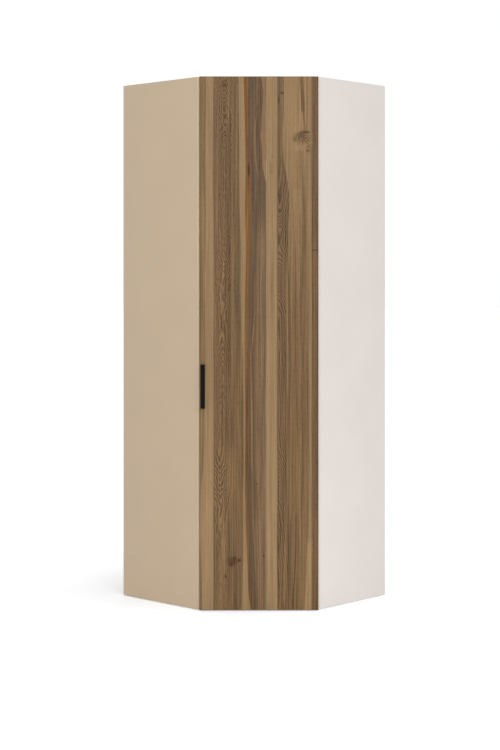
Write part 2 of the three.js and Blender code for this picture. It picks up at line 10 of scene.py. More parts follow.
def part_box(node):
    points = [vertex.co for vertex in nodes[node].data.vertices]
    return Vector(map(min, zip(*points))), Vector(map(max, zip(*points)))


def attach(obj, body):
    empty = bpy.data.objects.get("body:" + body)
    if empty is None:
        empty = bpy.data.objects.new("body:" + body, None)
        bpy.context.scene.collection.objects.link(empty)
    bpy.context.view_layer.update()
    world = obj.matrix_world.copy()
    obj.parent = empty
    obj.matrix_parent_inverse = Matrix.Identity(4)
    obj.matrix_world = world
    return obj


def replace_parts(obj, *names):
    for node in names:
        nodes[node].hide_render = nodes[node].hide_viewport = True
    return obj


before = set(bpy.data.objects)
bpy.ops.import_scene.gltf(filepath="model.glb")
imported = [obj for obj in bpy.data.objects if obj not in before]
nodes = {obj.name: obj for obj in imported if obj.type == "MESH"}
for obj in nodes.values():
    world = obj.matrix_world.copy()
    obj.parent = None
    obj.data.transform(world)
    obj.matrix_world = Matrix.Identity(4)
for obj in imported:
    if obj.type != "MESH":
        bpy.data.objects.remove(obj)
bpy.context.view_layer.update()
MM = 0.001


# Carcass boards. Melamine-faced chipboard: a decor paper pressed hot on to the board under a clear melamine
# film, with a thin plastic band ironed on to every cut edge. The left side is plain beige, and so are the
# boards inside; the right side is a paler cashmere.


def linear(hex_code):
    """An sRGB hex colour as linear red, green, blue and alpha."""
    channels = [int(hex_code[i:i + 2], 16) / 255 for i in (1, 3, 5)]
    return [c / 12.92 if c <= 0.04045 else ((c + 0.055) / 1.055) ** 2.4 for c in channels] + [1]


def result(node):
    """The output that a node gives in its present setting."""
    return next(socket for socket in node.outputs if socket.enabled)


def add(tree, kind, inputs=None, **settings):
    """One node with its settings. An input is a value, or another node or output that it links to."""
    made = tree.nodes.new("ShaderNode" + kind)
    for name, value in settings.items():
        setattr(made, name, value)
    for name, value in (inputs or {}).items():
        if isinstance(value, bpy.types.Node):
            value = result(value)
        if isinstance(value, bpy.types.NodeSocket):
            tree.links.new(value, made.inputs[name])
        else:
            made.inputs[name].default_value = value
    return made


def material(name, **surface):
    """A named material with a principled surface, and its node tree."""
    made = bpy.data.materials.new(name)
    made.use_nodes = True
    tree = made.node_tree
    tree.nodes.clear()
    shader = add(tree, "BsdfPrincipled", {key.replace("_", " "): value for key, value in surface.items()})
    add(tree, "OutputMaterial", {"Surface": shader})
    return made, tree, shader


def finish(tree, shader, inputs):
    """Links what varies over the surface to its shader."""
    for name, node in inputs.items():
        tree.links.new(result(node), shader.inputs[name])


ALONG = Vector((math.sqrt(0.5), math.sqrt(0.5), 0))       # the door's face, from its handle to its hinges
FRONT = Vector((math.sqrt(0.5), -math.sqrt(0.5), 0))      # where the door faces
UP = Vector((0, 0, 1))


def dress(surface, *names):
    """Gives CAD nodes a material."""
    for name in names:
        slots = nodes[name].data.materials
        slots.clear()
        slots.append(surface)


def laminate(name, hex_code, pore_hex, bevel_lighting_hex):
    """Plain melamine: even colour, a fine pressed pore and a low, soft gloss. The bevelled front edge takes a
    colour of its own, which is painted light and shade for that narrow strip beside the door. The pore is
    drawn at 1.4 mm, which is coarse, so that it shows."""
    made, tree, shader = material(name, IOR=1.5)
    place = add(tree, "TexCoord").outputs["Object"]
    pores = add(tree, "TexNoise", {"Vector": place, "Scale": 1 / (1.4 * MM), "Detail": 3, "Roughness": 0.6})
    clouds = add(tree, "TexNoise", {"Vector": place, "Scale": 1 / (180 * MM), "Detail": 2})
    share = add(tree, "MapRange", {"Value": pores, "From Min": 0.35, "From Max": 0.75, "To Max": 0.5})
    tint = add(tree, "Mix", {"Factor": share, "A": linear(hex_code), "B": linear(pore_hex)}, data_type="RGBA")
    normal = add(tree, "TexCoord").outputs["Normal"]
    edge = add(tree, "VectorMath", {0: normal, 1: FRONT}, operation="DOT_PRODUCT")
    edge = add(tree, "Math", {0: edge, 1: 0.9}, operation="GREATER_THAN")
    # painted light and shade: the bevelled front edge beside the door takes its own colour, standing for how
    # that narrow strip is lit
    tint = add(tree, "Mix", {"Factor": edge, "A": tint, "B": linear(bevel_lighting_hex)}, data_type="RGBA")
    cloudy = add(tree, "MapRange", {"Value": clouds, "From Min": 0.3, "From Max": 0.7, "To Min": 0.985,
                                    "To Max": 1.015})
    finish(tree, shader, {
        "Base Color": add(tree, "HueSaturation", {"Color": tint, "Value": cloudy}),
        "Roughness": add(tree, "MapRange", {"Value": pores, "From Min": 0.3, "From Max": 0.7, "To Min": 0.45,
                                            "To Max": 0.57}),
        "Normal": add(tree, "Bump", {"Height": pores, "Strength": 0.15, "Distance": 0.05 * MM}),
    })
    return made


# Bevel colours: painted light on the beige board, lighter than its face, and painted shade on the cashmere
# one, darker than its face
beige = laminate("melamine board, pressed beige", "#c8b296", "#b9a487", "#dcc4a5")
cashmere = laminate("melamine board, pressed cashmere", "#e1d9d3", "#d5cbc4", "#ddd3cc")
dress(beige, "left_side_panel", "top_panel", "bottom_panel", "hat_shelf", "lower_shelf", "plinth_front",
      "corner_post_left", "corner_post_right")
dress(cashmere, "right_side_panel")


# Door. A board faced with a staved walnut decor, as if glued up from upright strips of several trees: pale
# sapwood, brown heartwood with its nested arches, a cool grey strip with a rusty line beside it, and a few
# knots. Matt lacquer over open pores. Places on the door are in mm: across from its free edge, and height.


def extent(name, direction):
    """How far a CAD node reaches along a direction, lowest and highest."""
    reach = [vertex.co.dot(direction) for vertex in nodes[name].data.vertices]
    return min(reach), max(reach)


door_left, door_right = extent("door_panel", ALONG)
door_back, door_face = extent("door_panel", FRONT)
door_bottom, door_top = extent("door_panel", UP)
DOOR_WIDE = (door_right - door_left) / MM
DOOR_TALL = (door_top - door_bottom) / MM
TOP = 2196                    # the height of a drawn line's last point, just over the door's top edge

walnut, tree, shader = material("walnut stave decor, matt lacquered", IOR=1.5, Specular_IOR_Level=0.16)
place = add(tree, "TexCoord").outputs["Object"]
along = add(tree, "VectorMath", {0: place, 1: ALONG}, operation="DOT_PRODUCT")
across = add(tree, "MapRange", {"Value": along, "From Min": door_left, "From Max": door_right,
                                "To Max": DOOR_WIDE}, clamp=False)
height = add(tree, "SeparateXYZ", {0: place}).outputs["Z"]
rise = add(tree, "MapRange", {"Value": height, "From Min": door_bottom, "From Max": door_top,
                              "To Max": DOOR_TALL})


def grain(sheet, wide, long, seed, detail=2):
    """Noise whose cells are so many mm wide and long, drawn out up the board."""
    far_off = (17.3 * seed, 5.1 * seed, 0)
    where = add(tree, "VectorMath", {0: sheet, 1: (1 / wide, 1 / long, 0), 2: far_off},
                operation="MULTIPLY_ADD")
    return add(tree, "TexNoise", {"Vector": where, "Scale": 1, "Detail": detail, "Roughness": 0.55},
               noise_dimensions="2D")


def spot(sheet, middle, wide, tall, soft):
    """1 in the middle of an oval patch and 0 outside it, soft over that share of its radius."""
    away = add(tree, "VectorMath", {0: sheet, 1: (-middle[0], -middle[1], 0)}, operation="ADD")
    away = add(tree, "VectorMath", {0: away, 1: (2 / wide, 2 / tall, 0)}, operation="MULTIPLY")
    reach = add(tree, "VectorMath", {0: away}, operation="LENGTH")
    return add(tree, "MapRange", {"Value": reach, "From Min": 1, "From Max": 1 - soft},
               interpolation_type="SMOOTHSTEP")


# The grain flows round the knots, and everywhere else wanders by a millimetre or so
flat_sheet = add(tree, "CombineXYZ", {"X": across, "Y": rise})
flow = across
knots_passed = [((430, 1936), 90, 0.55), ((134, 202), 56, 0.5), ((166, 206), 40, 0.5), ((109, 138), 30, 0.4),
                ((101, 2160), 60, 0.4), ((235, 519), 30, 0.35)]
for (side, tall), reach, push in knots_passed:
    offset = add(tree, "Math", {0: across, 1: side}, operation="SUBTRACT")
    nearness = spot(flat_sheet, (side, tall), reach, 1.7 * reach, 1)
    bend = add(tree, "Math", {0: nearness, 1: -push}, operation="MULTIPLY")
    flow = add(tree, "Math", {0: offset, 1: bend, 2: flow}, operation="MULTIPLY_ADD")
wander = add(tree, "Math", {0: grain(flat_sheet, 400, 260, 1, 1), 1: 3.0, 2: flow}, operation="MULTIPLY_ADD")
wander = add(tree, "Math", {0: wander, 1: 1.5}, operation="SUBTRACT")
sheet = add(tree, "CombineXYZ", {"X": wander, "Y": rise})
# The lines below read their height from the finished sheet, so that the renderer works each one out just
# before its use. It has no room to hold all of them at once, as it would if they read the plain height
level = add(tree, "Math", {0: add(tree, "SeparateXYZ", {0: sheet}).outputs["Y"], 1: 1 / DOOR_TALL},
            operation="MULTIPLY")


def drawn(points, span=DOOR_WIDE):
    """A value that changes with height, through (height, value) points."""
    curve = add(tree, "FloatCurve", {"Value": level})
    curve.mapping.extend = "HORIZONTAL"
    line = curve.mapping.curves[0]
    shares = sorted((tall / DOOR_TALL, value / span) for tall, value in points)
    if len(shares) == 1:
        shares = [(0, shares[0][1]), (1, shares[0][1])]
    while len(line.points) < len(shares):
        line.points.new(0.5, 0.5)
    for point, share in zip(line.points, shares):
        point.location = share
        point.handle_type = "AUTO_CLAMPED"
    curve.mapping.update()
    return add(tree, "Math", {0: curve, 1: span}, operation="MULTIPLY")


def right_of(points, soft):
    """0 to the left and 1 to the right of a line through (height, across) points."""
    gap = add(tree, "Math", {0: wander, 1: drawn(points)}, operation="SUBTRACT")
    return add(tree, "MapRange", {"Value": gap, "From Min": -soft, "From Max": soft},
               interpolation_type="SMOOTHSTEP")


def streak(points, wide, soft):
    """1 along a line through (height, across) points. It fades out where the line ends on the board."""
    gap = add(tree, "Math", {0: wander, 1: drawn(points)}, operation="SUBTRACT")
    gap = add(tree, "Math", {0: gap}, operation="ABSOLUTE")
    inside = add(tree, "MapRange", {"Value": gap, "From Min": wide / 2 + soft, "From Max": wide / 2 - soft},
                 interpolation_type="SMOOTHSTEP")
    low, high = min(points)[0], max(points)[0]
    fade = 0.12 * (high - low)
    for tip, full in ((low, low + fade), (high, high - fade)):
        if 0 < tip < TOP:
            shown = add(tree, "MapRange", {"Value": rise, "From Min": tip, "From Max": full},
                        interpolation_type="SMOOTHSTEP")
            inside = add(tree, "Math", {0: inside, 1: shown}, operation="MULTIPLY")
    return inside


def stain(base, colour, share, strength=1):
    """The base colour with another laid over it where the share is 1."""
    factor = add(tree, "Math", {0: share, 1: strength}, operation="MULTIPLY")
    return add(tree, "Mix", {"Factor": factor, "A": base, "B": linear(colour)}, data_type="RGBA")


# Staves and the bands within them, from left to right: where the left edge runs, how soft that edge is, and
# the colour
staves = [
    # pale strip with a brown sliver on its left, which is the colour below all of them
    ([(0, 12), (140, 8), (330, 3), (480, 5), (600, 16), (745, 22), (1500, 25), (TOP, 26)], 1.8, "#907452"),
    # brown heartwood with its arches
    ([(0, 58.5)], 0.8, "#6f5538"),
    # pale strip, the rusty line and the grey strip
    ([(0, 176), (200, 179), (700, 181), (1190, 173), (1480, 168), (1850, 165), (TOP, 161)], 1.6, "#8f7351"),
    ([(0, 212), (46, 205), (170, 197), (293, 193), (417, 190), (540, 188.5), (1190, 188), (1500, 190.5),
      (1603, 189), (1666, 189), (1730, 193), (1862, 193), (1925, 191), (1988, 189), (2050, 186.7),
      (2115, 183.5), (TOP, 180.5)], 1.4, "#754d22"),
    ([(0, 218), (46, 212), (170, 203), (293, 199.5), (417, 197), (540, 196), (1018, 196), (1280, 198),
      (1413, 202.5), (1476, 204.5), (1603, 208.5), (1730, 212.5), (1824, 213), (1862, 207), (1925, 202.5),
      (2050, 202.5), (TOP, 201.5)], 1.2, "#5d4832"),
    # tan band on the grey strip's right, near the top only
    ([(0, 280), (1735, 280), (1761, 273), (1799, 265), (1824, 260), (1862, 259), (1925, 254.4), (1957, 250.6),
      (1988, 249), (2020, 252), (2052, 257), (2115, 261.7), (2146, 261), (TOP, 252)], 1.8, "#856443"),
    # pale middle strip
    ([(0, 271), (1200, 272.5), (1500, 273.5), (TOP, 274)], 1.0, "#907451"),
    # brown strip with arches cut off by its left edge
    ([(0, 321)], 0.8, "#6b5236"),
    # wide strip, brown below and sapwood above
    ([(0, 372), (738, 372), (1190, 368), (1540, 365), (1634, 368), (1698, 369), (1730, 366), (1761, 362),
      (1793, 356.6), (1824, 350), (1893, 344), (1957, 342.5), (2020, 346), (2083, 348), (TOP, 347)], 1.6,
     "#765a3b"),
]
# The last two lie over the sapwood, into which the wide strip turns as it rises
hinge_side_staves = [
    # the wide strip's pale right side
    ([(0, 432), (200, 443), (500, 452), (740, 452), (1480, 452), (1850, 449), (TOP, 450)], 1.4, "#8c6f4d"),
    # dark strip on the hinge side
    ([(0, 462.5)], 0.9, "#694f34"),
]
tone = linear("#7b6142")
for line, soft, colour in staves:
    tone = stain(tone, colour, right_of(line, soft))
wide_strip = right_of(staves[-1][0], 2)
sapwood = add(tree, "MapRange", {"Value": rise, "From Min": 1150, "From Max": 1950},
              interpolation_type="SMOOTHSTEP")
sapwood = add(tree, "Math", {0: wide_strip, 1: sapwood}, operation="MULTIPLY")
tone = stain(tone, "#8f724e", sapwood, 0.95)
for line, soft, colour in hinge_side_staves:
    tone = stain(tone, colour, right_of(line, soft))

# Streaks that run up inside the staves: the line each follows, its width and softness, colour and strength
streaks = [
    # the pale and brown strips at the free edge
    ([(600, 14), (TOP, 18)], 3, 2, "#8a6d4b", 0.45),
    ([(900, 4), (TOP, 5)], 3, 2, "#6a4f35", 0.6),
    ([(500, 13), (700, 18), (1650, 18)], 4, 2, "#866848", 0.6),
    ([(1000, 31), (1500, 30)], 5, 3, "#83664a", 0.5),
    ([(0, 34), (480, 35)], 36, 8, "#997c58", 0.55),
    # heartwood: reddish left, greyer right with dark lines, lighter foot
    ([(500, 74), (TOP, 76)], 20, 8, "#76583d", 0.55),
    ([(0, 100), (150, 98), (700, 104)], 46, 20, "#7f6242", 0.5),
    ([(900, 119), (1400, 120), (2090, 118)], 20, 9, "#5b4229", 0.65),
    ([(900, 138), (TOP, 136)], 12, 6, "#735a3c", 0.5),
    ([(1200, 147), (TOP, 147)], 3, 1.6, "#54412b", 0.65),
    ([(900, 166), (1300, 163), (1480, 160), (1700, 160), (TOP, 158)], 2.5, 1.4, "#50402c", 0.65),
    ([(1250, 153), (TOP, 153)], 4, 2, "#7c6244", 0.6),
    ([(340, 104), (400, 108), (450, 118), (507, 129), (663, 131), (820, 130)], 3, 1.6, "#573f27", 0.75),
    ([(330, 110), (400, 114), (450, 124), (507, 135), (700, 137)], 3, 1.6, "#86694a", 0.6),
    ([(1975, 129), (2060, 128)], 3, 1.6, "#493724", 0.75),
    ([(1915, 94), (1995, 95)], 3.4, 1.8, "#4c3a27", 0.75),
    ([(1600, 113), (1700, 114), (1745, 112)], 3, 1.8, "#4c3a27", 0.6),
    ([(1455, 84), (1520, 88), (1585, 79)], 3, 1.8, "#8d6b4b", 0.7),
    ([(1430, 122), (1520, 119), (1580, 116)], 4, 2, "#4f3d29", 0.6),
    ([(1230, 90), (1290, 86), (1400, 98), (1455, 97)], 3, 1.6, "#917050", 0.75),
    ([(1225, 86), (1290, 82), (1400, 93)], 3, 1.6, "#4d3a26", 0.6),
    # pale strip beside the rusty line: brown lower down
    ([(150, 185), (500, 184), (1000, 182), (1120, 180)], 9, 3, "#755a3c", 0.35),
    ([(60, 189), (300, 187), (1000, 186)], 3, 1.5, "#8f7250", 0.5),
    # browner left side and dark heart of the rusty line
    ([(1560, 190), (1800, 193), (1900, 191), (2080, 187)], 5, 2.5, "#67492a", 0.8),
    ([(1690, 204), (1812, 203.5), (1960, 198)], 8, 3, "#553414", 0.6),
    ([(1560, 199), (1640, 201), (1760, 203)], 5, 3, "#85551f", 0.6),
    # orange threads in the grey strip
    ([(1752, 245), (1793, 241), (1820, 236), (1856, 231), (1930, 228), (1988, 229), (2050, 236.5),
      (2147, 236.5), (TOP, 238)], 4.5, 2, "#855c38", 0.75),
    ([(2060, 236), (TOP, 239)], 8, 3, "#765537", 0.6),
    ([(540, 213.5), (760, 215), (900, 213), (1040, 213), (1100, 217), (1160, 223), (1230, 227), (1420, 228)],
     4.6, 2.2, "#8f6741", 0.85),
    ([(560, 190), (800, 190), (1020, 190)], 5, 2, "#69482a", 0.6),
    ([(120, 232), (400, 221), (640, 217)], 4, 2, "#80603f", 0.6),
    # bluish right side, browner lower half, and dark lines
    ([(1950, 253), (2115, 256), (TOP, 248)], 7, 3, "#58493a", 0.8),
    ([(1650, 219), (1750, 222), (1850, 216), (TOP, 212)], 14, 6, "#5b4939", 0.6),
    ([(0, 255), (500, 250), (1100, 249), (1480, 254), (1680, 260)], 40, 10, "#7d6245", 0.8),
    ([(560, 240), (700, 243), (1200, 246), (1500, 248)], 2.5, 1.5, "#54402b", 0.5),
    ([(0, 249), (200, 246), (520, 236)], 3, 1.6, "#553c26", 0.75),
    ([(0, 262), (560, 261), (1500, 264)], 2.5, 1.5, "#5d452e", 0.45),
    # red line on the tan band
    ([(2040, 272), (TOP, 273)], 3, 1.6, "#77533a", 0.6),
    # light line, red smear and faint threads in the pale middle strip
    ([(1765, 275.5), (1855, 274.5)], 2.4, 1.2, "#b59b77", 0.65),
    ([(1790, 294), (1845, 293)], 7, 4, "#7f5c3a", 0.7),
    ([(0, 300), (1000, 299), (TOP, 302)], 4, 2.5, "#86694a", 0.35),
    ([(0, 286), (TOP, 286)], 4, 2.5, "#a1855f", 0.4),
    # cut-off arches: dark left edge, paler right side, dark line along the sapwood
    ([(0, 323), (TOP, 324)], 2.5, 1.6, "#4a3622", 0.5),
    ([(1850, 338), (TOP, 338)], 9, 4, "#7a6246", 0.6),
    ([(1640, 356), (1760, 350), (1830, 336)], 6, 3, "#7b5f41", 0.6),
    ([(0, 365), (500, 368), (1100, 370), (1500, 365), (1640, 364)], 2.8, 1.4, "#4f3c28", 0.75),
    ([(850, 362), (1200, 362), (1480, 366), (1540, 369)], 3, 1.5, "#967855", 0.7),
    ([(20, 344), (150, 348), (290, 350)], 5, 2, "#8a6747", 0.6),
    ([(20, 360), (210, 362)], 3, 1.5, "#503c27", 0.7),
    # brown streaks that draw together above the knot
    ([(2040, 428), (2115, 423), (TOP, 419)], 15, 3, "#6d5133", 0.9),
    ([(1960, 436), (2000, 433), (2050, 429), (2115, 427)], 7, 2.5, "#6d5133", 0.9),
    ([(1968, 438), (1990, 441), (2083, 443), (TOP, 443)], 5, 2, "#7a5b3a", 0.8),
    ([(2090, 395), (TOP, 396)], 3, 2, "#876a47", 0.5),
    ([(1900, 385), (1990, 388), (2060, 388)], 3, 2, "#846644", 0.6),
    # smudge under the knot, greyer band and long lines down the wide strip
    ([(1720, 405), (1800, 408), (1900, 412)], 40, 18, "#7c5f3f", 0.75),
    ([(0, 418), (740, 430), (1500, 430), (1700, 428), (1900, 440)], 20, 4, "#6b5237", 0.5),
    ([(1250, 414), (1500, 414), (1650, 416)], 4, 2, "#5f472e", 0.55),
    ([(1300, 424), (1560, 425), (1850, 432)], 3, 1.6, "#5c452d", 0.6),
    ([(1400, 378), (1640, 380), (1760, 378)], 4, 2, "#755839", 0.6),
    ([(0, 385), (60, 386), (130, 390), (250, 397), (420, 398)], 4, 1.8, "#412e19", 0.8),
    ([(20, 371), (130, 373), (300, 376), (400, 375)], 4, 2, "#4a3620", 0.7),
    ([(230, 326), (330, 333), (410, 326)], 4, 2, "#3f2d1a", 0.7),
    ([(380, 396), (740, 397), (1100, 396)], 3, 1.6, "#5d4a33", 0.6),
    ([(1250, 394), (1530, 395)], 3, 1.6, "#5f4830", 0.6),
    ([(1350, 404), (1760, 407)], 5, 2.5, "#7b5e40", 0.6),
    ([(1280, 412), (1520, 413), (1800, 418)], 3, 1.6, "#9b7e5a", 0.6),
    ([(0, 409), (500, 412), (1100, 414)], 3, 1.6, "#8d7050", 0.5),
    ([(0, 380), (300, 388), (900, 384), (1500, 385)], 2.6, 1.5, "#5f472e", 0.55),
    # pale foot beside the hinge-side strip, which has an orange smear and lines
    ([(0, 443), (100, 447), (300, 455)], 20, 4, "#977a54", 0.8),
    ([(1950, 476), (2030, 474), (2110, 472)], 4.5, 2.5, "#7d5229", 0.75),
    ([(0, 473), (TOP, 474)], 3, 2, "#735839", 0.5),
    # painted shade: a dark line along the hinge edge, for the shaded gap between the door and the side panel
    ([(0, 486.5), (TOP, 486.5)], 4, 1.6, "#51381f", 0.8),
]
for line, wide, soft, colour, strength in streaks:
    tone = stain(tone, colour, streak(line, wide, soft), strength)

# Fibres in four widths, from broad bands to fine threads, with short dark pores between them. The threads are
# drawn at 3 mm and the pores at 1.5 mm, which is coarse, so that they show
fibres = 0.0
fibre_sizes = [(40, 300, 6, 0.05), (16, 1400, 3, 0.08), (7, 600, 4, 0.2), (3, 260, 5, 0.24)]
for wide, long, seed, change in fibre_sizes:
    threads = grain(sheet, wide, long, seed)
    swing = add(tree, "MapRange", {"Value": threads, "From Min": 0.3, "From Max": 0.7, "To Min": -change,
                                   "To Max": change})
    fibres = add(tree, "Math", {0: swing, 1: fibres}, operation="ADD")
pores = add(tree, "MapRange", {"Value": grain(sheet, 1.5, 22, 7, 0), "From Min": 0.6, "From Max": 0.74},
            interpolation_type="SMOOTHSTEP")
fibres = add(tree, "Math", {0: pores, 1: -0.16, 2: fibres}, operation="MULTIPLY_ADD")

# Growth rings, in the heartwood and in the brown strip right of the pale one: how many mm apart they are, and
# the radius in mm at the tip of an arch
RING, ARCH_TIP = 8.5, 9


def growth_rings(centre, climb, wobble, seed):
    """The nested arches of a flat-sawn board, from -1 to 1: growth rings on both sides of a centre line,
    which close into arches and islands where the climb turns. Also gives the distance from that line."""
    swing = grain(flat_sheet, 70, 80, seed + 2, 1)
    swing = add(tree, "Math", {0: swing, 1: 16, 2: -8}, operation="MULTIPLY_ADD")
    away = add(tree, "Math", {0: wander, 1: drawn(centre)}, operation="SUBTRACT")
    away = add(tree, "Math", {0: away, 1: swing}, operation="ADD")
    square = add(tree, "Math", {0: away, 1: away, 2: ARCH_TIP ** 2}, operation="MULTIPLY_ADD")
    spread = add(tree, "Math", {0: square}, operation="SQRT")
    count = add(tree, "Math", {0: spread, 1: 1 / RING, 2: drawn(climb, 40)}, operation="MULTIPLY_ADD")
    for wide, long, rough, step in [(30, 100, 2.2, 0), (7, 20, 0.6, 1)]:
        noise = grain(flat_sheet, wide, long, seed + step)
        count = add(tree, "Math", {0: noise, 1: rough * wobble, 2: count}, operation="MULTIPLY_ADD")
    turns = add(tree, "Math", {0: count, 1: 2 * math.pi}, operation="MULTIPLY")
    return add(tree, "Math", {0: turns}, operation="SINE"), add(tree, "Math", {0: away}, operation="ABSOLUTE")


heart_rings, heart_away = growth_rings(
    [(0, 90), (300, 84), (500, 85), (760, 86), (1000, 97), (1216, 93), (1480, 104), (1740, 107), (1990, 106),
     (TOP, 103)],
    [(0, 13), (300, 16), (420, 15.5), (540, 11), (660, 8), (1000, 14), (1216, 18), (1480, 12), (1690, 7),
     (1750, 8.5), (1810, 7), (1880, 9), (1930, 7.5), (1985, 9.5), (2010, 8.5), (2030, 9.3), (2055, 8.5),
     (2090, 9.6), (2145, 13), (TOP, 15)], 1, 8)
side_rings, side_away = growth_rings(
    [(0, 318), (700, 318), (1424, 327), (1700, 330), (TOP, 330)],
    [(0, 1), (300, 3), (430, 5), (530, 12), (690, 18), (1000, 20), (1250, 22), (1540, 40), (1640, 34),
     (TOP, 30)], 0.5, 11)
near_heart = add(tree, "MapRange", {"Value": heart_away, "From Min": 46, "From Max": 16, "To Min": 0.25},
                 interpolation_type="SMOOTHSTEP")
in_heart = add(tree, "Math", {0: near_heart, 1: streak([(0, 110), (TOP, 110)], 100, 4)}, operation="MULTIPLY")
near_side = add(tree, "MapRange", {"Value": side_away, "From Min": 60, "From Max": 20},
                interpolation_type="SMOOTHSTEP")
near_side = add(tree, "Math", {0: near_side, 1: right_of([(0, 322)], 1)}, operation="MULTIPLY")
below_sapwood = add(tree, "MapRange", {"Value": rise, "From Min": 1900, "From Max": 1700},
                    interpolation_type="SMOOTHSTEP")
in_side = add(tree, "Math", {0: near_side, 1: below_sapwood}, operation="MULTIPLY")
heart_strength = drawn([(0, 0.14), (200, 0.1), (320, 0.22), (450, 0.38), (640, 0.36), (760, 0.16),
                        (1000, 0.22), (1250, 0.34), (1440, 0.34), (1560, 0.16), (1880, 0.16), (2000, 0.34),
                        (TOP, 0.34)], 1)
side_strength = drawn([(0, 0.2), (450, 0.34), (620, 0.34), (800, 0.16), (1200, 0.34), (1550, 0.4),
                       (TOP, 0.3)], 1)
for rings, where, strength in [(heart_rings, in_heart, heart_strength), (side_rings, in_side, side_strength)]:
    part = add(tree, "Math", {0: rings, 1: where}, operation="MULTIPLY")
    fibres = add(tree, "Math", {0: part, 1: strength, 2: fibres}, operation="MULTIPLY_ADD")
# Sapwood is calmer than heartwood
lightness = add(tree, "RGBToBW", {"Color": tone})
contrast = add(tree, "MapRange", {"Value": lightness, "From Min": 0.2, "From Max": 0.1, "To Min": 0.45},
               interpolation_type="SMOOTHSTEP")
shade = add(tree, "Math", {0: fibres, 1: contrast, 2: 1}, operation="MULTIPLY_ADD")
tone = add(tree, "VectorMath", {0: tone, "Scale": shade}, operation="SCALE")

# Knots and pin knots: middle, width, height, colour and strength
knots = [
    ((102, 2161), 24, 36, "#3f2c1b", 0.75), ((342, 2126), 15, 16, "#2e1c0a", 0.95),
    ((326, 2098), 11, 64, "#35230f", 0.9), ((333, 2130), 20, 14, "#3f2b18", 0.8),
    ((329, 1705), 7, 12, "#45301c", 0.6), ((298, 1865), 7, 12, "#6a4a2b", 0.6),
    ((478, 1930), 15, 5, "#3a2614", 0.8), ((281, 941), 5, 8, "#50371f", 0.7),
    ((136, 204), 60, 56, "#4a3019", 0.85), ((131, 187), 26, 32, "#3a2512", 0.8),
    ((143, 214), 24, 20, "#3c2612", 0.8), ((163, 205), 21, 23, "#352009", 0.95),
    ((107.5, 139), 11, 26, "#35240f", 0.9), ((203.5, 1812), 15, 96, "#2c1907", 0.95),
    ((264.6, 223), 11, 13, "#241405", 1), ((235, 519), 12, 14, "#49311b", 0.8),
    ((464.5, 267), 7, 11, "#35230f", 0.8), ((83, 268), 18, 24, "#57432e", 0.6),
    ((326, 101), 18, 40, "#4a3825", 0.55),
]
for middle, wide, tall, colour, strength in knots:
    tone = stain(tone, colour, spot(sheet, middle, wide, tall, 1), strength)

# The large knot: thin curled lines round its heart, darkest along the top where the streaks run into it
KNOT = (452, 1926)
CURL = 9              # mm from one curled line to the next
knot_away = add(tree, "VectorMath", {0: flat_sheet, 1: (-KNOT[0], -KNOT[1], 0)}, operation="ADD")
knot_reach = add(tree, "VectorMath", {0: knot_away}, operation="LENGTH")
curl_turns = add(tree, "Math", {0: knot_reach, 1: 2 * math.pi / CURL}, operation="MULTIPLY")
ragged = grain(flat_sheet, 20, 16, 10)
curl_turns = add(tree, "Math", {0: ragged, 1: 12, 2: curl_turns}, operation="MULTIPLY_ADD")
curl = add(tree, "Math", {0: curl_turns}, operation="SINE")
curl = add(tree, "MapRange", {"Value": curl, "From Min": 0.1, "From Max": 0.9},
           interpolation_type="SMOOTHSTEP")
for middle, wide, tall, strength in [((420, 1943), 100, 80, 0.9), ((448, 1903), 40, 76, 0.9)]:
    face = add(tree, "Math", {0: curl, 1: spot(flat_sheet, middle, wide, tall, 0.8)}, operation="MULTIPLY")
    tone = stain(tone, "#432c17", face, strength)
for middle, wide, tall, strength in [((436, 1966), 66, 22, 0.9), ((415, 1955), 56, 34, 0.6),
                                     ((393, 1938), 30, 40, 0.5), ((430, 1942), 84, 70, 0.4)]:
    tone = stain(tone, "#432f1b", spot(flat_sheet, middle, wide, tall, 1), strength)

# Glue lines between the staves, and the butt joint where one short stave meets the next
BUTT_HEIGHT, BUTT_GAP = 1481, 3.2
for middle, wide, strength in [(58.5, 1.6, 0.4), (273.5, 1.4, 0.2), (320.5, 2, 0.5), (462, 2, 0.5)]:
    tone = stain(tone, "#3b2a1a", streak([(0, middle), (TOP, middle)], wide, 0.9), strength)
butt = add(tree, "Math", {0: rise, 1: BUTT_HEIGHT, 2: BUTT_GAP / 2}, operation="COMPARE")
butt = add(tree, "Math", {0: butt, 1: right_of([(0, 464)], 0.6)}, operation="MULTIPLY")
tone = stain(tone, "#21140a", butt, 0.9)

# Edge band: plastic in a darker walnut print, glued on all round the board's edges. A darker line 2.1 mm wide
# also runs round the border of the face, so that it frames the face
BAND, BAND_SOFT = 2.1, 0.5
rim = add(tree, "VectorMath", {0: flat_sheet, 1: (-DOOR_WIDE / 2, -DOOR_TALL / 2, 0)}, operation="ADD")
rim = add(tree, "SeparateXYZ", {0: add(tree, "VectorMath", {0: rim}, operation="ABSOLUTE")})
beside, above = [add(tree, "MapRange", {"Value": rim.outputs[axis], "From Min": half - BAND - BAND_SOFT,
                                        "From Max": half - BAND + BAND_SOFT}, interpolation_type="SMOOTHSTEP")
                 for axis, half in (("X", DOOR_WIDE / 2), ("Y", DOOR_TALL / 2))]
framed = add(tree, "Math", {0: beside, 1: above}, operation="MAXIMUM")
tone = stain(tone, "#6a4c2c", framed, 0.6)
normal = add(tree, "TexCoord").outputs["Normal"]
facing = add(tree, "VectorMath", {0: normal, 1: FRONT}, operation="DOT_PRODUCT")
facing = add(tree, "Math", {0: facing}, operation="ABSOLUTE")
on_edge = add(tree, "MapRange", {"Value": facing, "From Min": 0.9, "From Max": 0.6},
              interpolation_type="SMOOTHSTEP")
tone = stain(tone, "#6d4f30", on_edge, 0.8)

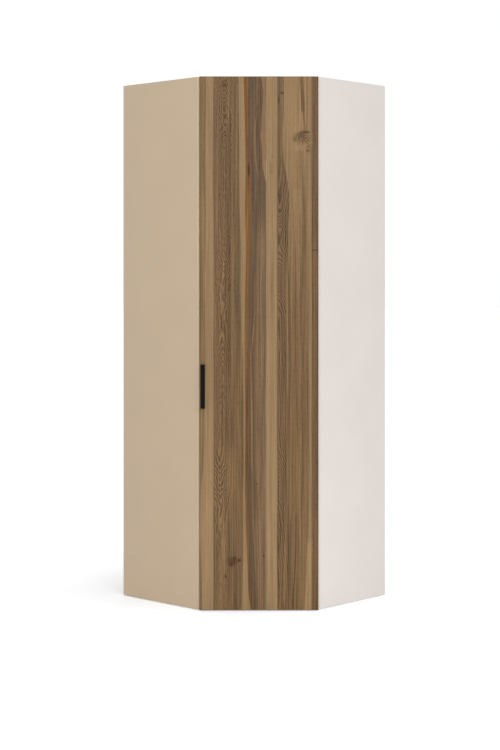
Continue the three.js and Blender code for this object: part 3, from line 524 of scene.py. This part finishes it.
relief = add(tree, "Math", {0: pores, 1: -0.5, 2: threads}, operation="MULTIPLY_ADD")
finish(tree, shader, {
    "Base Color": tone,
    "Roughness": add(tree, "MapRange", {"Value": pores, "To Min": 0.5, "To Max": 0.68}),
    "Normal": add(tree, "Bump", {"Height": relief, "Strength": 0.3, "Distance": 0.1 * MM}),
})
dress(walnut, "door_panel")


# Handle. A flat steel bow, bent, then powder-coated black: deep and matt, with the coat's fine orange peel.
# Two screws through the door hold it from behind.

powder_black, tree, shader = material("steel, powder-coated black", IOR=1.5, Specular_IOR_Level=0.06)
place = add(tree, "TexCoord").outputs["Object"]
peel = add(tree, "TexNoise", {"Vector": place, "Scale": 1 / (0.9 * MM), "Detail": 2, "Roughness": 0.5})
worn = add(tree, "TexNoise", {"Vector": place, "Scale": 1 / (22 * MM), "Detail": 3})
finish(tree, shader, {
    "Base Color": add(tree, "Mix", {"Factor": worn, "A": linear("#0a0b08"), "B": linear("#141511")},
                      data_type="RGBA"),
    "Roughness": add(tree, "MapRange", {"Value": peel, "From Min": 0.3, "From Max": 0.7, "To Min": 0.42,
                                        "To Max": 0.56}),
    "Normal": add(tree, "Bump", {"Height": peel, "Strength": 0.35, "Distance": 0.06 * MM}),
})
dress(powder_black, "door_handle")


# Hinges, shelf pegs and rail. Pressed sheet steel and drawn tube, nickel-plated: a warm pale metal with the
# faint rolling lines of the sheet and a cloudy sheen where the plating lies.


def nickel_plated(name, drawn_out, degrees, light_hex, deep_hex):
    """Nickel over steel. Its lines are drawn out along the axes of a frame turned so many degrees about Z."""
    made, tree, shader = material(name, Metallic=1.0)
    place = add(tree, "TexCoord").outputs["Object"]
    turned = add(tree, "VectorRotate", {"Vector": place, "Angle": math.radians(degrees)},
                 rotation_type="Z_AXIS")
    stretched = add(tree, "VectorMath", {0: turned, 1: drawn_out}, operation="MULTIPLY")
    lines = add(tree, "TexNoise", {"Vector": stretched, "Scale": 1 / (0.8 * MM), "Detail": 3})
    clouds = add(tree, "TexNoise", {"Vector": place, "Scale": 1 / (9 * MM), "Detail": 3})
    finish(tree, shader, {
        "Base Color": add(tree, "Mix", {"Factor": clouds, "A": linear(light_hex), "B": linear(deep_hex)},
                          data_type="RGBA"),
        "Roughness": add(tree, "MapRange", {"Value": lines, "From Min": 0.3, "From Max": 0.7, "To Min": 0.22,
                                            "To Max": 0.4}),
        "Normal": add(tree, "Bump", {"Height": lines, "Strength": 0.2, "Distance": 0.03 * MM}),
    })
    return made


pressed_nickel = nickel_plated("steel, pressed and nickel-plated", (1, 1, 0.08), 0, "#d0cdc6", "#a9a69f")
drawn_nickel = nickel_plated("steel tube, drawn and nickel-plated", (1, 0.01, 1), 45, "#d8d6d1", "#bebbb4")
dress(pressed_nickel, "rail_bracket_left", "rail_bracket_right",
      *[name for name in nodes if name.startswith(("hinge_", "shelf_peg_"))])
dress(drawn_nickel, "hanging_rail")


# Wall angles. Folded steel under blue-white zinc, with the dull spangle of the zinc bath. They are screwed up
# into the top board, and hold the wardrobe to the two walls.

zinc, tree, shader = material("steel, folded and zinc-plated", Metallic=1.0)
place = add(tree, "TexCoord").outputs["Object"]
spangle = add(tree, "TexVoronoi", {"Vector": place, "Scale": 1 / (4 * MM)})
flake = add(tree, "SeparateXYZ", {0: spangle.outputs["Color"]})
finish(tree, shader, {
    "Base Color": add(tree, "Mix", {"Factor": flake, "A": linear("#a5a9ab"), "B": linear("#bcc0c2")},
                      data_type="RGBA"),
    "Roughness": add(tree, "MapRange", {"Value": flake, "To Min": 0.34, "To Max": 0.5}),
})
dress(zinc, "wall_angle_left", "wall_angle_right")


# Back sheets. Thin fibreboard: pressed brown fibre, a little patchy, on the side towards the wall and on the
# cut edges, and a rolled coat of pale lacquer on the side that shows inside.

fibre, tree, shader = material("thin fibreboard, lacquered inside", IOR=1.45)
place = add(tree, "TexCoord")
felt = add(tree, "TexNoise", {"Vector": place.outputs["Object"], "Scale": 1 / (5 * MM), "Detail": 6,
                              "Roughness": 0.7, "Distortion": 1.2})
specks = add(tree, "TexNoise", {"Vector": place.outputs["Object"], "Scale": 1 / (1.8 * MM), "Detail": 1})
speck = add(tree, "MapRange", {"Value": specks, "From Min": 0.66, "From Max": 0.74, "To Max": 0.6})
brown = add(tree, "Mix", {"Factor": felt, "A": linear("#a98a66"), "B": linear("#c2a580")}, data_type="RGBA")
brown = add(tree, "Mix", {"Factor": speck, "A": brown, "B": linear("#7d6145")}, data_type="RGBA")
rolled = add(tree, "VectorMath", {0: place.outputs["Object"], 1: (1, 1, 0.3)}, operation="MULTIPLY")
patches = add(tree, "TexNoise", {"Vector": rolled, "Scale": 1 / (55 * MM), "Detail": 4, "Roughness": 0.6})
patchy = add(tree, "MapRange", {"Value": patches, "From Min": 0.3, "From Max": 0.7, "To Min": 0.94,
                                "To Max": 1.06})
brown = add(tree, "HueSaturation", {"Color": brown, "Value": patchy})
inside = add(tree, "VectorMath", {0: place.outputs["Normal"], 1: (1, -1, 0)}, operation="DOT_PRODUCT")
coated = add(tree, "Math", {0: inside, 1: 0.5}, operation="GREATER_THAN")
coat = add(tree, "Mix", {"Factor": felt, "A": linear("#dcd4c7"), "B": linear("#e2dbcf")}, data_type="RGBA")
finish(tree, shader, {
    "Base Color": add(tree, "Mix", {"Factor": coated, "A": brown, "B": coat}, data_type="RGBA"),
    "Roughness": add(tree, "MapRange", {"Value": coated, "To Min": 0.85, "To Max": 0.5}),
    "Normal": add(tree, "Bump", {"Height": felt, "Strength": 0.3, "Distance": 0.1 * MM}),
})
dress(fibre, "back_sheet_left", "back_sheet_right")


# Glides. Hard white polyethylene discs, moulded, nailed under the panels and the corner post. The wardrobe
# stands on them.

white_plastic, tree, shader = material("polyethylene, moulded white", IOR=1.51, Roughness=0.45)
mould = add(tree, "TexNoise", {"Vector": add(tree, "TexCoord").outputs["Object"], "Scale": 1 / (1.2 * MM),
                               "Detail": 2})
finish(tree, shader, {
    "Base Color": add(tree, "Mix", {"Factor": mould, "A": linear("#e3e1da"), "B": linear("#eceae4")},
                      data_type="RGBA"),
    "Normal": add(tree, "Bump", {"Height": mould, "Strength": 0.2, "Distance": 0.04 * MM}),
})
dress(white_plastic, *[name for name in nodes if name.startswith("glide_")])


# Door bumpers. Clear soft polyurethane drops, cast, stuck inside the free edge: milky, with a wet shine.
# They take up the knock when the door closes.

clear_rubber, tree, shader = material("polyurethane, cast clear", IOR=1.49, Transmission_Weight=0.6)
bubbles = add(tree, "TexNoise", {"Vector": add(tree, "TexCoord").outputs["Object"], "Scale": 1 / (1.5 * MM),
                                 "Detail": 1})
finish(tree, shader, {
    "Base Color": add(tree, "Mix", {"Factor": bubbles, "A": linear("#dcdcd8"), "B": linear("#f0f0ec")},
                      data_type="RGBA"),
    "Roughness": add(tree, "MapRange", {"Value": bubbles, "From Min": 0.3, "From Max": 0.7, "To Min": 0.15,
                                        "To Max": 0.35}),
})
dress(clear_rubber, "door_bumper_lower", "door_bumper_upper")


# Screws. Turned steel, zinc-plated, with a low domed head and a cross recess. Two hold each hinge cup and
# each plate, two set each hinge arm, and the rest hold the rail brackets, the wall angles and the handle.


def turn(mesh, profile, steps=20):
    """A form turned about Z from (radius, height) points. It is open at its last ring, which it returns."""
    rings = []
    for radius, tall in profile:
        corners = [2 * math.pi * step / steps for step in range(steps)]
        rings.append([mesh.verts.new((radius * math.cos(a), radius * math.sin(a), tall)) for a in corners])
    mesh.faces.new(reversed(rings[0]))
    for low, high in zip(rings, rings[1:]):
        for step in range(steps):
            after = (step + 1) % steps
            mesh.faces.new((low[step], low[after], high[after], high[step]))
    return rings[-1]


def stand(mesh, at, out):
    """Turns a form that is in mm about Z, to point out from a place on the wardrobe."""
    mesh.transform(Matrix.Translation(at) @ Vector(out).to_track_quat("Z", "Y").to_matrix().to_4x4()
                   @ Matrix.Scale(MM, 4))


def piece(name, mesh, surface, body):
    """A finished piece that rides on a body."""
    bmesh.ops.recalc_face_normals(mesh, faces=mesh.faces)
    data = bpy.data.meshes.new(name)
    mesh.to_mesh(data)
    mesh.free()
    data.materials.append(surface)
    made = bpy.data.objects.new(name, data)
    bpy.context.scene.collection.objects.link(made)
    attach(made, body)
    return made


def screw(name, at, out, size, body):
    """A screw whose head sits at the point. Its size in mm: radius and height of the head, radius and length
    of the shank."""
    head, tall, shank, length = size
    mesh = bmesh.new()
    rim = turn(mesh, [(0.35 * shank, -length), (shank, -length + shank), (shank, 0), (head, 0),
                      (head, 0.35 * tall), (0.93 * head, 0.7 * tall), (0.74 * head, tall)])
    arm, half = 0.52 * head, 0.13 * head
    cross = [(half, half), (half, arm), (-half, arm), (-half, half), (-arm, half), (-arm, -half),
             (-half, -half), (-half, -arm), (half, -arm), (half, -half), (arm, -half), (arm, half)]
    mouth = [mesh.verts.new((x, y, tall)) for x, y in cross]
    foot = [mesh.verts.new((0.7 * x, 0.7 * y, 0.25 * tall)) for x, y in cross]
    inner = [mesh.edges.new((a, b)) for a, b in zip(mouth, mouth[1:] + mouth[:1])]
    outer = [mesh.edges.get((a, b)) for a, b in zip(rim, rim[1:] + rim[:1])]
    bmesh.ops.triangle_fill(mesh, use_beauty=True, edges=inner + outer)
    for step in range(len(cross)):
        after = (step + 1) % len(cross)
        mesh.faces.new((mouth[step], mouth[after], foot[after], foot[step]))
    mesh.faces.new(foot)
    stand(mesh, at, out)
    return piece(name, mesh, zinc, body)


# Hinges: cups, plates, and the two screws that set an arm sideways and in depth. What stands off is measured
# from the side panel's inner face, and what is deep from its front edge
CUP_SCREW = (3.4, 1.4, 1.6, 11)
CUP_FROM_EDGE = 22.5 * MM               # from the door's hinge edge
CUP_WING = 1.1 * MM                     # thickness
CUP_SCREW_RISE = 24 * MM                # up and down from the cup's middle
PLATE_SCREW = (4.2, 1.7, 2.1, 13)
PLATE_THICK = 2.3 * MM
PLATE_SCREW_DEEP = 30 * MM
PLATE_SCREW_RISE = 16 * MM
SIDE_SCREW = (2.4, 1.2, 1.8, 9.2)
SIDE_SCREW_OFF, SIDE_SCREW_DEEP = 13.9 * MM, 28 * MM
DEPTH_SCREW = (4.0, 1.6, 2.0, 10)
DEPTH_SCREW_OFF, DEPTH_SCREW_DEEP = 14.8 * MM, 50 * MM
OUT_OF_DOOR = -FRONT                    # from its back
OUT_OF_PANEL = (-1, 0, 0)               # from its inner face
side_face, side_front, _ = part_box("right_side_panel")[0]
for number in range(1, 5):
    middle = sum(extent(f"hinge_cup_{number}", UP)) / 2
    wings = ALONG * (door_right - CUP_FROM_EDGE) + FRONT * (door_back - CUP_WING) + UP * middle
    for end, word in ((-1, "lower"), (1, "upper")):
        at = wings + UP * end * CUP_SCREW_RISE
        screw(f"hinge_cup_screw_{word}_{number}", at, OUT_OF_DOOR, CUP_SCREW, "door")
        at = (side_face - PLATE_THICK, side_front + PLATE_SCREW_DEEP, middle + end * PLATE_SCREW_RISE)
        screw(f"hinge_plate_screw_{word}_{number}", at, OUT_OF_PANEL, PLATE_SCREW, "carcass")
    at = (side_face - SIDE_SCREW_OFF, side_front + SIDE_SCREW_DEEP, middle)
    screw(f"hinge_side_screw_{number}", at, OUT_OF_PANEL, SIDE_SCREW, "carcass")
    at = (side_face - DEPTH_SCREW_OFF, side_front + DEPTH_SCREW_DEEP, middle)
    screw(f"hinge_depth_screw_{number}", at, OUT_OF_PANEL, DEPTH_SCREW, "carcass")

# Rail brackets: two screws up through each foot, so their heads look down
DOWN = (0, 0, -1)
BRACKET_SCREW = (3.6, 1.6, 1.8, 14)
FOOT_THICK = 3 * MM
FOOT_REACH = 18 * MM                    # from the foot's middle to a screw
for word in ("left", "right"):
    bracket = f"rail_bracket_{word}"
    foot = ALONG * sum(extent(bracket, ALONG)) / 2 + UP * (extent(bracket, UP)[1] - FOOT_THICK)
    for end, place_word in ((-1, "rear"), (1, "front")):
        deep = sum(extent(bracket, FRONT)) / 2 + end * FOOT_REACH
        screw(f"{bracket}_screw_{place_word}", foot + FRONT * deep, DOWN, BRACKET_SCREW, "carcass")

# Wall angles: one screw up into the top board, and one back through the sheet towards the wall
BOARD_SCREW = (4.6, 2, 2.4, 14)
WALL_SCREW = (4.6, 2, 2.4, 5)
ANGLE_THICK = 2 * MM
ANGLE_HOLE = 22 * MM                    # from the fold to a hole
for word, off_wall in (("left", Vector((1, 0, 0))), ("right", Vector((0, -1, 0)))):
    low, high = [Vector(corner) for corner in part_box(f"wall_angle_{word}")]
    half = (high - low) / 2
    fold = low + half - off_wall * abs(half.dot(off_wall)) + UP * half.z
    at = fold + off_wall * ANGLE_HOLE - UP * ANGLE_THICK
    screw(f"wall_angle_{word}_screw_top", at, DOWN, BOARD_SCREW, "carcass")
    at = fold + off_wall * ANGLE_THICK - UP * ANGLE_HOLE
    screw(f"wall_angle_{word}_screw_wall", at, off_wall, WALL_SCREW, "carcass")

# Handle: the CAD's plain screws, with a recess. They lie inside the door, heads towards the cabinet
HANDLE_HEAD, HANDLE_TALL, HANDLE_SHANK = 4.0, 2.4, 2.0
for word in ("lower", "upper"):
    node = f"handle_screw_{word}"
    head_top, tip = extent(node, FRONT)
    at = ALONG * sum(extent(node, ALONG)) / 2 + UP * sum(extent(node, UP)) / 2
    at += FRONT * (head_top + HANDLE_TALL * MM)
    size = (HANDLE_HEAD, HANDLE_TALL, HANDLE_SHANK, (tip - head_top) / MM - HANDLE_TALL)
    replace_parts(screw(f"{node}_with_recess", at, OUT_OF_DOOR, size, "door"), node)


# Cam caps. The boards are drawn on to the side panels by cam locks let into their faces; each hole is closed
# by a moulded plastic cap with a thin lip and a small dimple.

CAP_PROFILE = [(8.6, 0), (8.6, 0.4), (8.0, 0.8), (2.0, 0.8), (1.4, 0.4)]
INSET = 34 * MM                         # from the edge that a cap stands beside
NEAR, FAR = 70 * MM, 350 * MM           # along that edge, from its end
for board, upward in (("top_panel", 1), ("hat_shelf", -1)):
    low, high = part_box(board)
    face = high[2] if upward > 0 else low[2]
    places = [(low[0] + NEAR, low[1] + INSET), (low[0] + FAR, low[1] + INSET),
              (high[0] - INSET, high[1] - NEAR), (high[0] - INSET, high[1] - FAR),
              (low[0] + INSET, high[1] - NEAR), (low[0] + NEAR, high[1] - INSET)]
    for number, (x, y) in enumerate(places, 1):
        mesh = bmesh.new()
        mesh.faces.new(turn(mesh, CAP_PROFILE, 28))
        stand(mesh, (x, y, face), (0, 0, upward))
        piece(f"{board}_cam_cap_{number}", mesh, white_plastic, "carcass")


# Back nails. Short wire nails with flat heads, zinc-plated, driven through the back sheets into the panels,
# posts and fixed boards, a hand's width apart.


def nail_row(start, end, pitch):
    """Evenly spaced places from one value to another."""
    count = round((end - start) / pitch)
    return [start + (end - start) * step / count for step in range(count + 1)]


NAIL_PROFILE = [(0.5, -14), (0.8, -12), (0.8, -0.2), (2.6, 0), (2.6, 0.25), (2.2, 0.45)]
PITCH = 120 * MM
END_GAP = 60 * MM                       # from an upright row to the first nail of a level one
LOWEST_NAIL, HIGHEST_NAIL = 110 * MM, 2150 * MM
PANEL_LINE, POST_LINE = 8 * MM, 48 * MM                # upright rows, from the sheet's two upright edges
board_lines = [sum(extent(board, UP)) / 2 for board in ("bottom_panel", "hat_shelf", "top_panel")]
for name, out in (("back_sheet_left", (-1, 0, 0)), ("back_sheet_right", (0, 1, 0))):
    low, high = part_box(name)
    if name == "back_sheet_left":
        lines = [low[1] + PANEL_LINE, high[1] - POST_LINE]
    else:
        lines = [high[0] - PANEL_LINE, low[0] + POST_LINE]
    spots = [(line, tall) for line in lines for tall in nail_row(LOWEST_NAIL, HIGHEST_NAIL, PITCH)]
    start, end = min(lines) + END_GAP, max(lines) - END_GAP
    spots += [(line, tall) for tall in board_lines for line in nail_row(start, end, PITCH)]
    mesh = bmesh.new()
    for line, tall in spots:
        nail = bmesh.new()
        nail.faces.new(turn(nail, NAIL_PROFILE, 12))
        stand(nail, (low[0], line, tall) if name == "back_sheet_left" else (line, high[1], tall), out)
        nail_data = bpy.data.meshes.new("nail")
        nail.to_mesh(nail_data)
        nail.free()
        mesh.from_mesh(nail_data)
        bpy.data.meshes.remove(nail_data)
    piece(f"{name}_nails", mesh, zinc, "carcass")


# Floor and light. A plain pale floor that carries the shadow, an even white room, one large soft lamp from
# the front and a faint one low down.

door_middle = 0.5 * (door_left + door_right)


def out_front(right, ahead, height):
    """A point given from the middle of the door's face, in metres."""
    return ALONG * (door_middle + right) + FRONT * (door_face + ahead) + UP * height


FLOOR_REACH = 60              # metres, so that its edge is lost in the white
floor_mesh = bpy.data.meshes.new("floor")
corners = [(x * FLOOR_REACH, y * FLOOR_REACH, 0) for x, y in ((-1, -1), (1, -1), (1, 1), (-1, 1))]
floor_mesh.from_pydata(corners, [], [(0, 1, 2, 3)])
floor = bpy.data.objects.new("floor", floor_mesh)
bpy.context.scene.collection.objects.link(floor)
pale, tree, shader = material("studio floor, matt white", Roughness=0.9)
shader.inputs["Base Color"].default_value = linear("#eff2f6")
# To the camera the floor also glows a little, more with the distance from the corner where the shadow falls,
# so that it runs out to white
seen = add(tree, "LightPath").outputs["Is Camera Ray"]
far = add(tree, "VectorMath", {0: add(tree, "TexCoord").outputs["Object"], 1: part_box("left_side_panel")[0]},
          operation="DISTANCE")
glow = add(tree, "MapRange", {"Value": far, "From Min": 0.1, "From Max": 1.1, "To Min": 0.26, "To Max": 0.5})
glow = add(tree, "Emission", {"Strength": glow})
dark = add(tree, "Emission", {"Strength": 0})
extra = add(tree, "MixShader", {0: seen, 1: dark, 2: glow})
total = add(tree, "AddShader", {0: shader, 1: extra})
output = next(n for n in tree.nodes if n.type == "OUTPUT_MATERIAL")
tree.links.new(total.outputs[0], output.inputs["Surface"])
floor_mesh.materials.append(pale)

# The room is full white where it is seen or mirrored, and a little dimmer as a light
world = bpy.data.worlds.new("white room")
bpy.context.scene.world = world
world.use_nodes = True
sky = world.node_tree
sky.nodes.clear()
path = add(sky, "LightPath")
shown = add(sky, "Math", {0: path.outputs["Is Camera Ray"], 1: path.outputs["Is Glossy Ray"]},
            operation="MAXIMUM")
shown = add(sky, "Math", {0: shown, 1: path.outputs["Is Transmission Ray"]}, operation="MAXIMUM")
power = add(sky, "MapRange", {"Value": shown, "To Min": 0.72, "To Max": 1.0})
ground = add(sky, "Background", {"Color": (1, 1, 1, 1), "Strength": power})
add(sky, "OutputWorld", {"Surface": ground})

for name, wide, tall, watts, place, target in [
        ("soft lamp", 3.0, 2.4, 95, out_front(0.5, 4.6, 2.6), out_front(0, 0, 1.0)),
        ("low fill", 1.2, 0.1, 1.2, out_front(0.35, 0.75, 0.12), out_front(0.35, 0, 0.12))]:
    lamp_data = bpy.data.lights.new(name, "AREA")
    lamp_data.shape = "RECTANGLE"
    lamp_data.size = wide
    lamp_data.size_y = tall
    lamp_data.energy = watts
    lamp = bpy.data.objects.new(name, lamp_data)
    bpy.context.scene.collection.objects.link(lamp)
    lamp.location = place
    lamp.rotation_euler = (target - place).to_track_quat("-Z", "Y").to_euler()
    lamp.visible_camera = False

# The camera, from a perspective fit to the photo's upright edges and panel tops
camera_data = bpy.data.cameras.new("camera")
camera_data.lens = 77.3
camera_data.sensor_width = 36
camera_data.shift_x = 0.1197
camera_data.shift_y = -0.1255
camera_data.clip_end = 200
camera = bpy.data.objects.new("camera", camera_data)
bpy.context.scene.collection.objects.link(camera)
camera.location = out_front(-0.4059, 6.6237, 1.3583)
camera.rotation_euler = (math.radians(90), 0, math.radians(45))
bpy.context.scene.camera = camera

bpy.context.scene.view_settings.view_transform = "Standard"
